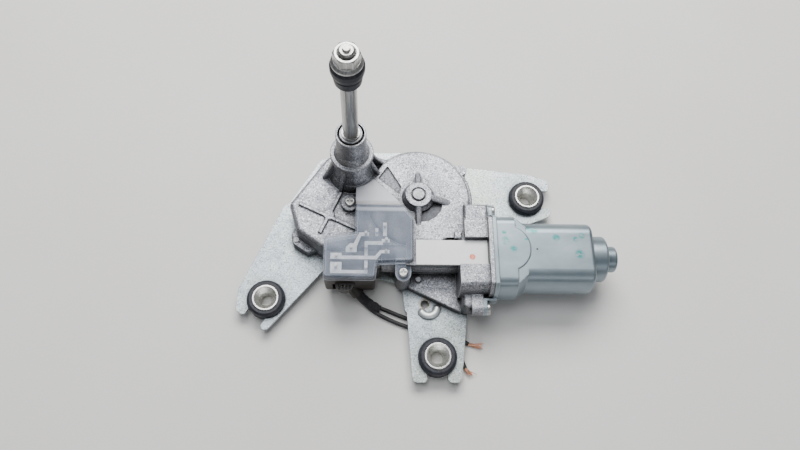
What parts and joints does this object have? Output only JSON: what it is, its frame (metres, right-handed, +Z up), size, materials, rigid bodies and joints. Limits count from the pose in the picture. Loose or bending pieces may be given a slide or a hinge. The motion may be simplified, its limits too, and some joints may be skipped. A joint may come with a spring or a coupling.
{
  "type": "windshield wiper motor assembly",
  "caption": "Rear wiper drive: geared motor in a cast case on a three-arm rubber-mounted bracket, with a tall threaded output shaft.",
  "frame": {"origin": "on the output shaft's axis, in the plane of the mounting sleeves' feet", "axes": "+Z up the output shaft, +X along the motor towards its tail, +Y away from the low arm"},
  "size_m": [0.2376, 0.1562, 0.1576],
  "materials": {
    "cast_case": "rough as-cast",
    "zinc_plate": "zinc plated, mottled",
    "can_steel": "galvanised, satin",
    "bright_steel": "ground",
    "black_rubber": "matt",
    "bronze": "sintered",
    "copper": "bare copper",
    "gear_plastic": "greased nylon",
    "dark_plastic": "moulded",
    "clear_cover": "milky translucent plastic",
    "label": "plain white film",
    "ferrite": "ground ferrite",
    "laminations": "stacked sheet",
    "carbon": "brush carbon",
    "gasket_fibre": "pressed fibre",
    "cable_pvc": "satin PVC"
  },
  "bodies": {
    "root": {"gear_housing": "cast_case", "bracket_plate": "zinc_plate", "housing_gasket": "gasket_fibre", "housing_rivets": "bright_steel", "lower_bush": "bronze", "upper_bush": "bronze", "shaft_seal": "black_rubber", "shaft_washer": "bright_steel", "thrust_washer": "bright_steel", "wheel_pin": "bright_steel", "motor_can": "can_steel", "magnets": "ferrite", "front_bearing": "bronze", "tail_bearing": "bronze", "brush_holder": "dark_plastic", "brushes": "carbon", "brush_springs": "bright_steel", "thrust_screw": "dark_plastic", "boss_screw": "bright_steel", "cover_screw": "bright_steel", "flange_screws": "bright_steel", "terminal_cover": "clear_cover", "connector_housing": "dark_plastic", "connector_pins": "copper", "terminal_tracks": "bright_steel", "contact_rivets": "bright_steel", "label_plate": "label", "harness_lead_upper": "cable_pvc", "harness_lead_lower": "cable_pvc", "copper_ends": "copper", "harness_tape": "cable_pvc", "grommet_left": "black_rubber", "sleeve_left": "bright_steel", "grommet_low": "black_rubber", "sleeve_low": "bright_steel", "grommet_right": "black_rubber", "sleeve_right": "bright_steel"},
    "armature": {"armature_shaft": "bright_steel", "armature_core": "laminations", "windings": "copper", "commutator": "copper"},
    "wheel": {"worm_wheel": "gear_plastic", "crank_pin": "bright_steel", "park_disc": "copper"},
    "output": {"output_shaft": "bright_steel", "output_pinion": "bright_steel", "arm_nut": "bright_steel", "shaft_cap": "black_rubber", "retaining_ring": "bright_steel"},
    "lever": {"holding_lever": "zinc_plate", "link_pin": "bright_steel"},
    "sector": {"sector_gear": "zinc_plate"}
  },
  "joints": [
    {"name": "motor_spin", "type": "hinge", "parent": "root", "child": "armature", "pos_m": [0.06, -0.0555, 0.0225], "axis": [1, 0, 0], "continuous": true},
    {"name": "wheel_spin", "type": "hinge", "parent": "root", "child": "wheel", "pos_m": [0.0418, -0.0187, 0.0225], "axis": [0, 0, 1], "continuous": true},
    {"name": "shaft_sweep", "type": "hinge", "parent": "root", "child": "output", "pos_m": [0, 0, 0.05], "axis": [0, 0, 1], "range_deg": [0, 141]},
    {"name": "lever_swing", "type": "hinge", "parent": "root", "child": "lever", "pos_m": [0, 0, 0.015], "axis": [0, 0, 1], "range_deg": [0, 47.2]},
    {"name": "sector_swing", "type": "hinge", "parent": "lever", "child": "sector", "pos_m": [-0.0071, -0.02135, 0.012], "axis": [0, 0, 1], "range_deg": [-47.2, 0]}
  ],
  "couplings": [
    {"joint": "wheel_spin", "follows": "motor_spin", "ratio": -0.019231},
    {"joint": "lever_swing", "follows": "shaft_sweep", "ratio": 0.33333},
    {"joint": "sector_swing", "follows": "shaft_sweep", "ratio": -0.33333}
  ]
}
